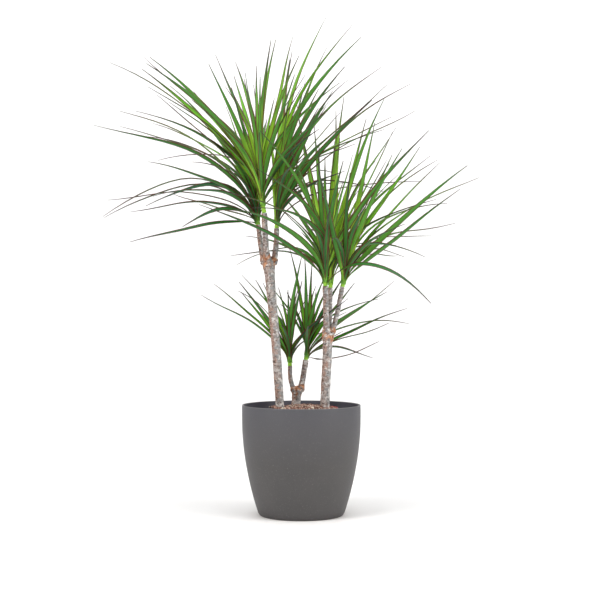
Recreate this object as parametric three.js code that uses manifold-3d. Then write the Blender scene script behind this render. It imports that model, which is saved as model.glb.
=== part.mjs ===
// A potted dracaena: three woody canes, forked into eight short stems, each with a head of long
// narrow leaves. The canes stand in the soil of a plain grower's pot, inside a cover pot.
// Millimetres, +Z up. The origin is the middle of the cover pot's underside, and +Y is the back.
import * as THREE from "three";
import { mergeVertices } from "three/addons/utils/BufferGeometryUtils.js";
import Module from "manifold-3d";

const { Vector3, Vector2 } = THREE;
const wasm = await Module();
wasm.setup();

// Driving dimensions.
const GAP = 0.3; // clearance between pieces that rest on each other
const COVER = { height: 208, rimRadius: 112.3, footRadius: 80.5, wall: 3, floor: 4 };
const GROWER = { height: 198, rimRadius: 62, footRadius: 50, wall: 1.8, centre: [7.5, 4], sides: 24 };
const COLLAR = { height: 11, step: 1.2 }; // stands out this far round the grower's pot's rim
const SOIL = { edgeDrop: 3, dome: 6.5, lump: 0.8, socketDepth: 85 };
const BLADE = { keel: 1.25, tipKeel: 0.7, baseWidth: 6, widthPerLength: 0.024 };
const BLADE_STEPS = { fewest: 4, most: 6, liftForMore: 26 };
const SPACING = 1.2; // least air between two leaves, beside their own half widths

// ---------------------------------------------------------------- where things are seen
// The canes and the outer leaves are set on the sight lines of one view of the real plant. A place
// is given by where it is seen, in px right and down of a 600 px frame, and by how far it lies
// behind the pot's axis in mm.
const VIEW = { distance: 2400, height: 389, focalPx: 1267, axisPx: 301.3, horizonPx: 309 };

function seen(px, py, depth) {
  const mmPerPx = (VIEW.distance + depth) / VIEW.focalPx;
  const x = (px - VIEW.axisPx) * mmPerPx;
  const z = VIEW.height - (py - VIEW.horizonPx) * mmPerPx;
  return new Vector3(x, depth, z);
}

// ---------------------------------------------------------------- solids
function solidOf(geometry) {
  const bare = geometry.clone();
  bare.deleteAttribute("normal");
  bare.deleteAttribute("uv");
  const merged = mergeVertices(bare, 1e-4);
  const mesh = new wasm.Mesh({
    numProp: 3,
    vertProperties: merged.getAttribute("position").array,
    triVerts: new Uint32Array(merged.index.array),
  });
  return new wasm.Manifold(mesh);
}

function geometryOf(solid) {
  const mesh = solid.getMesh();
  const geometry = new THREE.BufferGeometry();
  geometry.setAttribute("position", new THREE.BufferAttribute(mesh.vertProperties, 3));
  geometry.setIndex(new THREE.BufferAttribute(mesh.triVerts, 1));
  geometry.computeVertexNormals();
  return geometry;
}

// One body out of several, with any pocket shut in between them filled.
function joined(solids) {
  const bodies = wasm.Manifold.union(solids).simplify(0.05).decompose();
  return bodies.reduce((widest, body) => (body.volume() > widest.volume() ? body : widest));
}

function named(name, geometry, material) {
  const mesh = new THREE.Mesh(geometry, material);
  mesh.name = name;
  return mesh;
}

function finish(color, roughness) {
  return new THREE.MeshStandardMaterial({ color, roughness, metalness: 0 });
}

// Turns a profile of [radius, height] points round the Z axis.
function turned(profile, segments) {
  const points = profile.map(([radius, height]) => new Vector2(radius, height));
  return new THREE.LatheGeometry(points, segments).rotateX(Math.PI / 2);
}

// Bends a unit cylinder or cone along a path: place(t, across, out) gives the point for the share t
// of the way along it and the vertex's place in the round section.
function swept(unit, tapers, place) {
  const position = unit.getAttribute("position");
  for (let i = 0; i < position.count; i++) {
    const t = position.getY(i) + 0.5;
    const ring = tapers ? Math.max(1 - t, 1e-6) : 1;
    const point = place(t, position.getX(i) / ring, position.getZ(i) / ring);
    position.setXYZ(i, point.x, point.y, point.z);
  }
  return unit;
}

// A round limb along a curve, which runs roughly upwards, with its radius given for each share t.
function limb(curve, radiusAt, sides, steps) {
  const unit = new THREE.CylinderGeometry(1, 1, 1, sides, steps);
  const back = new Vector3(0, 1, 0);
  const made = swept(unit, false, (t, x, z) => {
    const along = curve.getTangent(t);
    const right = back.clone().cross(along).normalize();
    const out = right.clone().cross(along);
    const radius = radiusAt(t);
    return curve
      .getPoint(t)
      .addScaledVector(right, x * radius)
      .addScaledVector(out, z * radius);
  });
  return solidOf(made);
}

// ---------------------------------------------------------------- cover pot
// A moulded plastic shell: straight at the top, drawn in below, with a rounded lip and a shallow
// ring-shaped recess under its floor.
function coverRadius(z) {
  const straightFrom = 180;
  const share = Math.max(0, 1 - z / straightFrom);
  return COVER.rimRadius - (COVER.rimRadius - COVER.footRadius) * share ** 1.9;
}

function coverPot() {
  const { height, wall, floor } = COVER;
  const recess = { from: 22, to: 64, depth: 1.2 };
  const heel = 3.5;
  const profile = [
    [0, 0],
    [recess.from, 0],
    [recess.from + 1, recess.depth],
    [recess.to, recess.depth],
    [recess.to + 1, 0],
    [COVER.footRadius - heel, 0],
    [coverRadius(heel / 3) - heel / 4, heel / 3],
  ];
  for (const z of [heel, 40, 80, 125, 180, height - wall / 2]) profile.push([coverRadius(z), z]);
  profile.push([coverRadius(height) - wall / 2, height]);
  profile.push([coverRadius(height) - wall, height - wall / 2]);
  for (const z of [120, 60]) profile.push([coverRadius(z) - wall, z]);
  profile.push([coverRadius(floor) - wall - 1, floor]);
  profile.push([0, floor]);
  return turned(profile, 32);
}

// ---------------------------------------------------------------- grower's pot
// A thin tapered pot with a collar round its rim and drain holes in its floor. It stands on the
// cover pot's floor.
const growerFoot = COVER.floor + GAP;
const growerRim = growerFoot + GROWER.height;

function growerRadius(z) {
  const share = (z - growerFoot) / (GROWER.height - COLLAR.height);
  return GROWER.footRadius + (GROWER.rimRadius - COLLAR.step - GROWER.footRadius) * share;
}

function growerPot() {
  const { wall, rimRadius } = GROWER;
  const underCollar = growerRim - COLLAR.height;
  const floor = growerFoot + 2;
  const profile = [
    [0, growerFoot],
    [GROWER.footRadius, growerFoot],
    [growerRadius(underCollar), underCollar],
    [rimRadius, underCollar],
    [rimRadius, growerRim - 0.8],
    [rimRadius - wall / 2, growerRim],
    [rimRadius - wall, growerRim - 0.8],
    [growerRadius(underCollar) - wall, underCollar - 2],
    [growerRadius(floor) - wall, floor],
    [0, floor],
  ];
  const holes = { count: 6, ring: 38, radius: 5 };
  let pot = solidOf(turned(profile, GROWER.sides));
  for (let i = 0; i < holes.count; i++) {
    const angle = (i / holes.count) * 2 * Math.PI;
    const drill = new THREE.CylinderGeometry(holes.radius, holes.radius, 10, 8).rotateX(Math.PI / 2);
    drill.translate(holes.ring * Math.cos(angle), holes.ring * Math.sin(angle), floor);
    pot = pot.subtract(solidOf(drill));
  }
  return pot.translate([...GROWER.centre, 0]);
}

// ---------------------------------------------------------------- canes
// Each cane is rooted in the soil and rises to a swollen knuckle, where it was once cut and
// sprouted again. Its stems leave the knuckle and end under their heads of leaves.
const soilTop = growerRim - SOIL.edgeDrop;

const STEM_TIPS = {
  tallLeft: seen(258.3, 225, 30),
  tallMiddle: seen(264.3, 213, -24),
  tallRight: seen(276.7, 228.5, 10),
  midFront: seen(325.4, 286, -24),
  midBack: seen(330.4, 288, 32),
  midRight: seen(342.4, 287, 4),
  shortLeft: seen(289.9, 366, 34),
  shortRight: seen(305.8, 360, 50),
};

const CANES = [
  {
    name: "cane_tall",
    foot: [280, -6],
    trunk: [seen(276.3, 350, -6), seen(271.9, 300, -3)],
    knuckle: seen(268.8, 264, 0),
    radius: { foot: 7.6, top: 9.4, knuckle: 12 },
    stems: [
      { from: seen(264, 264, 4), via: seen(260.6, 245, 20), to: STEM_TIPS.tallLeft, radius: 4.7 },
      { from: seen(267, 260, -4), via: seen(265.8, 245, -16), to: STEM_TIPS.tallMiddle, radius: 5.6 },
      { from: seen(273.4, 264, 2), via: seen(275.9, 247, 7), to: STEM_TIPS.tallRight, radius: 5.2 },
    ],
  },
  {
    name: "cane_middle",
    foot: [324.6, -8],
    trunk: [seen(326.3, 375, -8), seen(327.4, 352, -6)],
    knuckle: seen(327.8, 336, -3),
    radius: { foot: 8.8, top: 9.1, knuckle: 11.5 },
    stems: [
      { from: seen(326.3, 336, -6), via: seen(326, 312, -15), to: STEM_TIPS.midFront, radius: 5.4 },
      { from: seen(329, 336, 2), via: seen(330, 312, 20), to: STEM_TIPS.midBack, radius: 4.4 },
      { from: seen(331.5, 334, -2), via: seen(336.8, 315, 2), to: STEM_TIPS.midRight, radius: 4.7 },
    ],
  },
  {
    name: "cane_short",
    foot: [295.9, 42],
    trunk: [seen(296, 403, 42), seen(296.4, 398, 42)],
    knuckle: seen(297, 391, 42),
    radius: { foot: 8.6, top: 8.6, knuckle: 10.4 },
    stems: [
      { from: seen(294, 391, 40), via: seen(290.6, 380, 37), to: STEM_TIPS.shortLeft, radius: 4.4 },
      { from: seen(300, 391, 44), via: seen(303, 378, 47), to: STEM_TIPS.shortRight, radius: 5.7 },
    ],
  },
];

function trunkCurve(cane) {
  const [footPx, depth] = cane.foot;
  const ground = seen(footPx, 408, depth);
  const lean = ground.clone().sub(cane.trunk[0]);
  const depthBelow = ground.z - (soilTop - SOIL.socketDepth);
  const buried = ground.clone().addScaledVector(lean, depthBelow / -lean.z);
  return new THREE.CatmullRomCurve3([buried, ground, ...cane.trunk, cane.knuckle]);
}

function stemCurve(stem) {
  return new THREE.CatmullRomCurve3([stem.from, stem.via, stem.to]);
}

function trunkRadius(cane, t) {
  const { foot, top, knuckle } = cane.radius;
  const plain = foot + (top - foot) * t;
  const swelling = Math.exp(-(((1 - t) / 0.06) ** 2));
  return plain + (knuckle - top) * swelling;
}

function stemRadius(stem, t) {
  const collar = Math.exp(-((t / 0.22) ** 2));
  return stem.radius * (1 + 0.35 * collar);
}

function caneSolid(cane) {
  const trunk = limb(trunkCurve(cane), (t) => trunkRadius(cane, t), 9, 9);
  const knob = solidOf(new THREE.IcosahedronGeometry(cane.radius.knuckle, 1));
  const knuckle = knob.translate([cane.knuckle.x, cane.knuckle.y, cane.knuckle.z]);
  const stems = cane.stems.map((stem) => {
    const whole = limb(stemCurve(stem), (t) => stemRadius(stem, t), 8, 3);
    return whole.trimByPlane([0, 0, -1], GAP - stem.to.z);
  });
  return joined([trunk, knuckle, ...stems]);
}

// ---------------------------------------------------------------- soil
// Fills the grower's pot, with a low lumpy dome on top and a plain hole for each cane.
function soilSolid() {
  const inner = (z) => growerRadius(z) - GROWER.wall - GAP;
  const bottom = growerFoot + 2 + GAP;
  const underCollar = growerRim - COLLAR.height;
  const edge = inner(underCollar - 2);
  const profile = [
    [0, bottom],
    [inner(bottom), bottom],
    [edge, underCollar - 2],
    [GROWER.rimRadius - GROWER.wall - 2 * GAP, soilTop],
  ];
  for (const share of [0.8, 0.55, 0.3]) {
    const rise = SOIL.dome * Math.cos((share * Math.PI) / 2);
    profile.push([edge * share, soilTop + rise]);
  }
  profile.push([0, soilTop + SOIL.dome]);
  const body = turned(profile, GROWER.sides);
  const position = body.getAttribute("position");
  for (let i = 0; i < position.count; i++) {
    const [x, y, z] = [position.getX(i), position.getY(i), position.getZ(i)];
    const lump = SOIL.lump * Math.sin(x * 0.9) * Math.cos(y * 0.7);
    if (z > soilTop + 0.01) position.setZ(i, z + lump);
  }
  let soil = solidOf(body).translate([...GROWER.centre, 0]);
  for (const cane of CANES) {
    const hole = limb(trunkCurve(cane), (t) => trunkRadius(cane, t) + GAP, 9, 9);
    soil = soil.subtract(hole).subtract(hole.translate([0, 0, -GAP]));
  }
  return soil;
}

// ---------------------------------------------------------------- leaves
// A head is a short core of clasping leaf bases on top of a stem, with its leaves standing out all
// round. The outer leaves follow the real plant: where each tip is seen and its depth, how many px
// the leaf bows off its chord, and how far its face is turned to the viewer. A rule adds the rest.
const HEADS = [
  {
    name: "leaves_tall_left",
    base: STEM_TIPS.tallLeft,
    top: seen(254, 198, 32),
    more: { count: 14, length: 300, turn: 0.2, seed: 11 },
    leaves: [
      [120, 108, 60, 19, 0.1],
      [136, 115, -90, 28, 0.2],
      [153, 125, 170, 21, 0],
      [94, 129, -60, 25, 0.4],
      [120, 129, 130, 23, 0],
      [148, 161, -150, 11, 0.2],
      [102, 215, -90, 38, 0.1],
      [107, 222, 60, 36, 0],
      [109, 204, 120, 18, 0],
      [153, 197, -190, 19, 0.3],
      [151, 208, -140, 30, 0.6],
      [131, 214, -30, 14, 0.3],
      [173, 196, 210, -2, 0],
      [130, 242, -60, 5, 0.4],
      [182, 228, -150, 15, 0.6],
    ],
  },
  {
    name: "leaves_tall_middle",
    base: STEM_TIPS.tallMiddle,
    top: seen(257.5, 172, -28),
    more: { count: 15, length: 270, turn: 1, seed: 12 },
    leaves: [
      [150, 57, -60, 11, 0.8],
      [147, 64, -130, 15, 0.9],
      [141, 63, 40, 13, 0.1],
      [142, 69, -20, 8, 0.8],
      [109, 64, 10, 18, 0.1],
      [149, 85, 110, 10, 0.1],
      [167, 105, 170, 10, 0.1],
      [209, 66, -140, 3, 0.8],
      [213, 59, 120, 9, 0.1],
      [231, 88, -100, 1, 0.8],
      [234, 77, 150, 3, 1],
      [236, 64, 190, 7, 0.5],
      [244, 80, 90, 3, 0.2],
      [256, 68, 150, 0, 0.4],
      [260, 77, -150, 0, 0.8],
      [271, 40, -120, 4, 1],
      [275, 39, -60, 5, 1],
      [293, 35, 40, 0, 0.3],
      [298, 56, -90, 5, 1],
    ],
  },
  {
    name: "leaves_tall_right",
    base: STEM_TIPS.tallRight,
    top: seen(277, 196, 8),
    more: { count: 14, length: 280, turn: 1.95, seed: 13 },
    leaves: [
      [326, 17, 30, 14, 0.5],
      [349, 23, -40, 20, 0.2],
      [361, 38, -80, 24, 0.8],
      [329, 51, 140, 10, 0.2],
      [345, 66, -110, 14, 0.9],
      [319, 88, 180, 5, 0.6],
      [307, 84, 130, 4, 0.6],
      [347, 79, 160, 12, 0.2],
      [383, 70, 50, 22, 0.4],
      [389, 87, -40, 11, 0.1],
      [372, 100, -130, 6, 0.9],
      [409, 81, 90, 11, 0.3],
      [393, 118, 130, 16, 0.2],
      [417, 117, 60, 17, 0],
      [420, 188, 110, 17, 0],
      [293, 52, 190, 4, 0.2],
      [289, 63, 110, 3, 0.4],
    ],
  },
  {
    name: "leaves_middle_front",
    base: STEM_TIPS.midFront,
    top: seen(324.2, 262, -26),
    more: { count: 14, length: 270, turn: 0.7, seed: 14 },
    leaves: [
      [260, 130, -120, 15, 0.8],
      [256, 169, -180, 22, 0.6],
      [252, 208, -210, 28, 0.4],
      [231, 207, -180, 15, 0.8],
      [199, 203, -150, 8, 0.4],
      [237, 266, 170, 26, 0.2],
      [284, 212, -80, 5, 0],
      [303, 136, 50, 2, 0.7],
      [296, 108, 60, 2, 0.5],
      [290, 148, 20, 3, 0.4],
      [314, 127, 100, 1, 0.5],
      [318, 147, -150, 0, 1],
      [325, 157, 90, 0, 0.5],
      [340, 138, -30, -2, 0.7],
      [429, 131, -70, 9, 0.7],
      [431, 305, -150, 27, 0.5],
    ],
  },
  {
    name: "leaves_middle_back",
    base: STEM_TIPS.midBack,
    top: seen(332, 264, 36),
    more: { count: 10, length: 260, turn: 0.1, seed: 15 },
    leaves: [
      [384, 99, -20, 8, 0.7],
      [366, 120, 90, 2, 0.6],
      [391, 131, 80, 1, 0.1],
      [397, 129, 150, 12, 0.1],
      [421, 150, 60, 1, 0.7],
      [430, 156, 110, 13, 0.2],
      [344, 97, 60, 5, 0.1],
      [336, 111, 110, -2, 0.1],
      [335, 142, 40, 3, 0.5],
    ],
  },
  {
    name: "leaves_middle_right",
    base: STEM_TIPS.midRight,
    top: seen(347.5, 262, 2),
    more: { count: 12, length: 270, turn: 2.8, seed: 16 },
    leaves: [
      [375, 123, -60, 1, 1],
      [392, 155, -30, 2, 0.9],
      [442, 166, 60, 7, 0.2],
      [466, 165, -60, 2, 0.9],
      [480, 183, 60, 19, 0.1],
      [460, 190, -110, -1, 0.4],
      [455, 229, 150, 20, 0.2],
      [424, 259, -130, 27, 0.3],
      [404, 257, 180, 19, 0.4],
      [398, 260, 230, 15, 0],
      [318, 167, -150, -1, 0.9],
    ],
  },
  {
    name: "leaves_short_left",
    base: STEM_TIPS.shortLeft,
    top: seen(289.5, 347, 34),
    more: { count: 9, length: 175, turn: 0.25, seed: 17 },
    leaves: [
      [242, 275, 90, 8, 0.1],
      [239, 282, 20, 2, 0.9],
      [241, 292, 60, 1, 0.7],
      [213, 285, 40, 4, 0.3],
      [200, 297, 10, 7, 0.3],
      [256, 281, 130, 3, 0.5],
      [262, 283, 90, 2, 0.5],
      [278, 288, 70, 3, 0.2],
      [288, 290, -30, 0, 0.7],
      [302, 257, -60, 4, 1],
      [322, 322, 110, 6, 0.2],
    ],
  },
  {
    name: "leaves_short_right",
    base: STEM_TIPS.shortRight,
    top: seen(308, 340, 52),
    more: { count: 9, length: 185, turn: 0.4, seed: 18 },
    leaves: [
      [289, 247, 70, 2, 0.6],
      [305, 258, -30, 0, 0.9],
      [312, 263, 70, 0, 0.5],
      [317, 293, 130, 0, 0.3],
      [355, 284, 70, 2, 0.6],
      [345, 275, 120, 3, 0.9],
      [395, 283, 80, 1, 0.1],
      [388, 294, 50, 6, 0.5],
      [407, 308, 80, 1, 0.4],
      [409, 323, 110, 15, 0.1],
      [390, 326, 30, 2, 0.1],
      [378, 340, 40, -10, 0.1],
      [373, 360, 140, 11, 0.4],
      [281, 303, 100, 3, 0.3],
      [287, 292, 20, 2, 0.6],
    ],
  },
];

// A repeatable random number from 0 to 1.
function randomFrom(seed) {
  let state = seed;
  return () => {
    state = (Math.imul(state, 1664525) + 1013904223) >>> 0;
    return state / 4294967296;
  };
}

// Where a leaf parts from its head's core: the higher it aims, the higher up.
function leafParting(head, tip) {
  const reach = tip.clone().sub(head.base);
  const aim = reach.z / reach.length();
  const share = Math.min(0.8, Math.max(0.12, 0.25 + 0.55 * aim));
  return head.base.clone().lerp(head.top, share);
}

// The line that a leaf follows. It is rooted halfway up to its parting, clasps the core that far,
// and runs to its tip. The lift carries its middle off the straight chord.
function leafCurve(head, parting, tip, lift) {
  const root = head.base.clone().lerp(parting, 0.5);
  const chord = tip.clone().sub(parting);
  const first = parting.clone().addScaledVector(chord, 0.22).addScaledVector(lift, 1.5);
  const second = parting.clone().addScaledVector(chord, 0.62).addScaledVector(lift, 1.15);
  return new THREE.CubicBezierCurve3(root, first, second, tip);
}

function leafWidth(length, t) {
  const widest = BLADE.baseWidth + BLADE.widthPerLength * length;
  const ease = Math.min(1, t / 0.35);
  const opening = 0.4 + 0.6 * ease * ease * (3 - 2 * ease);
  return widest * opening * (1 - t ** 2.2);
}

// A leaf of the real plant. It bows upwards in the picture, and dips towards the head in depth.
function seenLeaf(head, [px, py, depth, bow, shown], moved) {
  const tip = seen(px, py, depth + moved);
  const parting = leafParting(head, tip);
  const chord = tip.clone().sub(parting);
  const lift = new Vector3(-chord.z, 0, chord.x).normalize();
  if (lift.z < 0) lift.negate();
  lift.multiplyScalar((bow * VIEW.distance) / VIEW.focalPx);
  lift.y = -0.08 * chord.y;
  const flat = new Vector3(-chord.y, chord.x, 0).normalize();
  const facing = new Vector3(-chord.z, 0, chord.x).normalize();
  if (facing.dot(flat) < 0) facing.negate();
  return { parting, tip, lift, side: flat.lerp(facing, shown).normalize() };
}

// A leaf by the rule, at the golden angle from the last: young ones upright at the heart, older
// ones lower. They turn mostly to the front and back, where the seen leaves are few.
function ruledLeaf(head, i, turned) {
  const { count, length, turn, seed } = head.more;
  const random = randomFrom(seed * 1000 + i);
  const age = (i + 0.5) / count;
  const around = turn + i * 2.39996 + turned;
  const rise = 1.3 - 0.95 * age + 0.2 * (random() - 0.5);
  const long = length * (0.72 + 0.3 * Math.sin(Math.PI * Math.min(1, age * 1.2)) + 0.1 * random());
  const way = new Vector3(0.62 * Math.cos(around), Math.sin(around), 0).normalize();
  const tip = head.base.clone().addScaledVector(way, long * Math.cos(rise));
  tip.z += long * Math.sin(rise);
  const parting = leafParting(head, tip);
  const bow = 0.04 + 0.2 * age * random();
  const lift = way.clone().multiplyScalar(-Math.sin(rise));
  lift.z = Math.cos(rise);
  const side = new Vector3(-way.y, way.x, 0).applyAxisAngle(way, 1.2 * (random() - 0.5));
  return { parting, tip, lift: lift.multiplyScalar(bow * long), side };
}

// Points along a leaf with the half width there, for keeping leaves apart.
const PROBES = 40;
function probesOf(curve, length, owner) {
  const probes = [];
  for (let i = 0; i <= PROBES; i++) {
    const t = i / PROBES;
    probes.push({ point: curve.getPoint(t), reach: leafWidth(length, t) / 2, t, owner });
  }
  return probes;
}

// Whether a leaf stays clear of what stands already. Leaves of one head may touch near its core.
function isClear(probes, standing, owner) {
  const rootZone = 0.36;
  return probes.every((mine) =>
    standing.every((other) => {
      const sameHead = other.owner === owner;
      if (sameHead && (mine.t < rootZone || other.t < rootZone)) return true;
      const least = (sameHead ? 0.5 : 1) * (mine.reach + other.reach) + SPACING;
      return mine.point.distanceToSquared(other.point) > least * least;
    }),
  );
}

// What every leaf has to pass: the canes and the cores of the heads.
function obstacles() {
  const standing = [];
  const add = (curve, reach, owner) => {
    for (let i = 0; i <= 30; i++) standing.push({ point: curve.getPoint(i / 30), reach, t: 0, owner });
  };
  for (const cane of CANES) {
    add(trunkCurve(cane), cane.radius.foot, cane.name);
    for (const stem of cane.stems) add(stemCurve(stem), stem.radius, cane.name);
  }
  for (const head of HEADS) add(new THREE.LineCurve3(head.base, head.top), 8, head.name);
  return standing;
}

// Places every leaf in turn. One that would meet another head or a cane is moved back or forth on
// its sight line, or turned round its head, until it is clear, and left out if it never is.
function placeLeaves() {
  const standing = obstacles();
  const tries = 40;
  const offset = (k) => Math.ceil(k / 2) * (k % 2 ? 1 : -1);
  const placed = new Map(HEADS.map((head) => [head.name, []]));
  const settle = (head, candidate) => {
    for (let k = 0; k < tries; k++) {
      const { parting, tip, lift, side } = candidate(offset(k));
      const curve = leafCurve(head, parting, tip, lift);
      const length = parting.distanceTo(tip);
      const probes = probesOf(curve, length, head.name);
      const beyondCane = probes.filter((probe) => probe.t > 0.1);
      if (!isClear(beyondCane, standing, head.name)) continue;
      standing.push(...probes);
      placed.get(head.name).push({ curve, length, lift, side });
      return;
    }
  };
  for (const head of HEADS) {
    for (const leaf of head.leaves) settle(head, (step) => seenLeaf(head, leaf, 13 * step));
  }
  for (const head of HEADS) {
    for (let i = 0; i < head.more.count; i++) settle(head, (step) => ruledLeaf(head, i, 0.11 * step));
  }
  return placed;
}

// One blade: flat above, with a low keel below, on three sides.
function bladeSolid({ curve, length, lift, side }) {
  const more = Math.floor(lift.length() / BLADE_STEPS.liftForMore);
  const steps = Math.min(BLADE_STEPS.most, BLADE_STEPS.fewest + more);
  const unit = new THREE.ConeGeometry(1, 1, 3, steps);
  const edge = Math.sqrt(3) / 2;
  const made = swept(unit, true, (t, x, z) => {
    const along = curve.getTangent(t);
    const across = side.clone().addScaledVector(along, -side.dot(along)).normalize();
    const up = along.clone().cross(across);
    const keel = BLADE.keel + (BLADE.tipKeel - BLADE.keel) * t;
    return curve
      .getPoint(t)
      .addScaledVector(across, ((x / edge) * leafWidth(length, t)) / 2)
      .addScaledVector(up, (-(z + 0.5) / 1.5) * keel);
  });
  return solidOf(made);
}

function headSolid(head, blades) {
  const below = head.base.clone().lerp(head.top, -0.05);
  const axis = new THREE.LineCurve3(below, head.top);
  const bulge = 0.07 * head.base.distanceTo(head.top);
  const coreRadius = (t) => 4.6 + bulge * Math.sin(Math.PI * t) ** 1.5 - 2.2 * t;
  const core = limb(axis, coreRadius, 8, 5).trimByPlane([0, 0, 1], head.base.z);
  return joined([core, ...blades.map(bladeSolid)]);
}

// ---------------------------------------------------------------- the whole plant
const potGrey = finish(0x4b4c50, 0.6);
const growerRed = finish(0x9c3b33, 0.55);
const soilBrown = finish(0x5a3b2b, 1);
const bark = finish(0x9a8576, 0.9);
const leafGreen = finish(0x3d7a2a, 0.45);

const plant = new THREE.Group();
plant.add(named("cover_pot", coverPot(), potGrey));
plant.add(named("grower_pot", geometryOf(growerPot()), growerRed));
plant.add(named("soil", geometryOf(soilSolid()), soilBrown));
for (const cane of CANES) plant.add(named(cane.name, geometryOf(caneSolid(cane)), bark));
const placed = placeLeaves();
for (const head of HEADS) {
  const solid = headSolid(head, placed.get(head.name));
  plant.add(named(head.name, geometryOf(solid), leafGreen));
}

export default plant;
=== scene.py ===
import math

import bmesh
import bpy
import numpy as np
from mathutils import Matrix, Vector, noise


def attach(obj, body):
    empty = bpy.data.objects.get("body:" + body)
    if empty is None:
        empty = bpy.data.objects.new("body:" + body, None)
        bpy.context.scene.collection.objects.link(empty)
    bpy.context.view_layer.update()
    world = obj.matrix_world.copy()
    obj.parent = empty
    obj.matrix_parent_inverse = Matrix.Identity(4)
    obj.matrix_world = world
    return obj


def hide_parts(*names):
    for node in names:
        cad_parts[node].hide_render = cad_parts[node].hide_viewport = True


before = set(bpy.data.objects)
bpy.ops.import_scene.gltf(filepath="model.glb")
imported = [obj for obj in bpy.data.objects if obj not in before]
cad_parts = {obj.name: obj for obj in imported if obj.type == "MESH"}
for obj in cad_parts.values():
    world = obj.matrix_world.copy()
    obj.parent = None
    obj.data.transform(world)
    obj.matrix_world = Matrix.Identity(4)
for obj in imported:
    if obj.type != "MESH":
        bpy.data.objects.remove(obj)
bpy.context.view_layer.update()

# -------- cover pot
# A moulded shell of matte anthracite plastic with a rounded lip, straight at the top and drawn in
# towards a flat foot. It is spun from its wall's section, as its mould is turned.
rim_radius, foot_radius, pot_height, pot_wall = 0.1123, 0.0805, 0.208, 0.003
shoulder, draw_in = 0.180, 1.9
heel, heel_from, lip_round, inner_lip_drop, pot_floor = 0.0035, 0.3, 0.0009, 0.0003, 0.004
recess_from, recess_to, recess_depth, recess_bevel = 0.022, 0.065, 0.0012, 0.001
outer_rows, inner_rows, pot_sides = 34, 30, 128
quarter = math.pi / 2


class Field:
    """A value or colour that changes over a surface, on which sums can be done."""

    def __init__(self, finish, socket):
        self.finish = finish
        self.socket = socket

    def maths(self, operation, first, second):
        """Adds a Math node on two values."""
        return self.finish.node("Math", {"operation": operation}, {0: first, 1: second})

    def __add__(self, other):
        return self.maths("ADD", self, other)

    __radd__ = __add__

    def __sub__(self, other):
        return self.maths("SUBTRACT", self, other)

    def __rsub__(self, other):
        return self.maths("SUBTRACT", other, self)

    def __mul__(self, other):
        return self.maths("MULTIPLY", self, other)

    __rmul__ = __mul__

    def __pow__(self, other):
        return self.maths("POWER", self, other)

    def __abs__(self):
        return self.finish.node("Math", {"operation": "ABSOLUTE"}, {0: self})


class Finish:
    """A material made of nodes."""

    def __init__(self, name):
        self.material = bpy.data.materials.new(name)
        self.material.use_nodes = True
        self.tree = self.material.node_tree
        self.shader = self.tree.nodes["Principled BSDF"]

    def feed(self, node, socket, value):
        """Links a socket to a field, or sets it to a plain value or colour."""
        if isinstance(value, Field):
            self.tree.links.new(value.socket, node.inputs[socket])
        elif isinstance(value, tuple) and len(value) == 3 and node.inputs[socket].type == "RGBA":
            node.inputs[socket].default_value = (*value, 1)
        else:
            node.inputs[socket].default_value = value

    def node(self, kind, settings, values, output=0):
        """Makes a node from its settings, or a ramp's stops, and its sockets, and gives one output."""
        made = self.tree.nodes.new("ShaderNode" + kind)
        for setting, value in settings.items():
            if setting == "stops":
                ramp = made.color_ramp
                for place, tint in value[1:-1]:
                    ramp.elements.new(place)
                for element, (place, tint) in zip(ramp.elements, value):
                    element.position = place
                    element.color = (*tint, 1)
            else:
                setattr(made, setting, value)
        for socket, value in values.items():
            self.feed(made, socket, value)
        return Field(self, made.outputs[output])

    def axes(self, vector):
        """The X, Y and Z of a vector."""
        outputs = self.node("SeparateXYZ", {}, {"Vector": vector}).socket.node.outputs
        return [Field(self, output) for output in outputs]

    def blend(self, share, first, second):
        """Goes from the first colour to the second. The Mix node knows its colour sockets by number."""
        return self.node("Mix", {"data_type": "RGBA"}, {0: share, 6: first, 7: second}, 2)

    def between(self, value, low, high):
        """Rises from 0 to 1 as the value goes from low to high, and falls where low is the higher."""
        bounds = {"Value": value, "From Min": low, "From Max": high}
        return self.node("MapRange", {"clamp": True}, bounds)

    def where(self):
        """The place on the object, in metres."""
        return self.node("TexCoord", {}, {}, "Object")

    def read(self, name):
        """The attribute of this name that the mesh's points carry."""
        return self.node("Attribute", {"attribute_name": name}, {}, "Fac")

    def noise(self, place, scale, detail, roughness=0.5):
        """Cloudy noise, mostly from 0.3 to 0.7."""
        values = {"Vector": place, "Scale": scale, "Detail": detail, "Roughness": roughness}
        return self.node("TexNoise", {}, values)

    def bump(self, strength, distance, height):
        """The shading of a relief whose height of 1 stands for a distance in metres."""
        return self.node("Bump", {}, {"Strength": strength, "Distance": distance, "Height": height})

    def surface(self, **values):
        """Sets the shader's sockets, with _ for the spaces in their names."""
        for socket, value in values.items():
            self.feed(self.shader, socket.replace("_", " "), value)


def colour(red, green, blue):
    """A screen colour from 0 to 255 as the linear values that a shader takes."""
    shares = (value / 255 for value in (red, green, blue))
    return tuple(s / 12.92 if s <= 0.04045 else ((s + 0.055) / 1.055) ** 2.4 for s in shares)


def shown(bm, name, *finishes):
    """Makes a smooth-shaded object of a bmesh, and frees the bmesh."""
    mesh = bpy.data.meshes.new(name)
    bm.to_mesh(mesh)
    bm.free()
    made = bpy.data.objects.new(name, mesh)
    bpy.context.collection.objects.link(made)
    for finish in finishes:
        mesh.materials.append(finish.material)
    mesh.shade_smooth()
    return made


def piece(bm, name, *finishes):
    """Makes a piece that stands with the rest of the plant."""
    made = shown(bm, name, *finishes)
    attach(made, "root")
    return made


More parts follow.
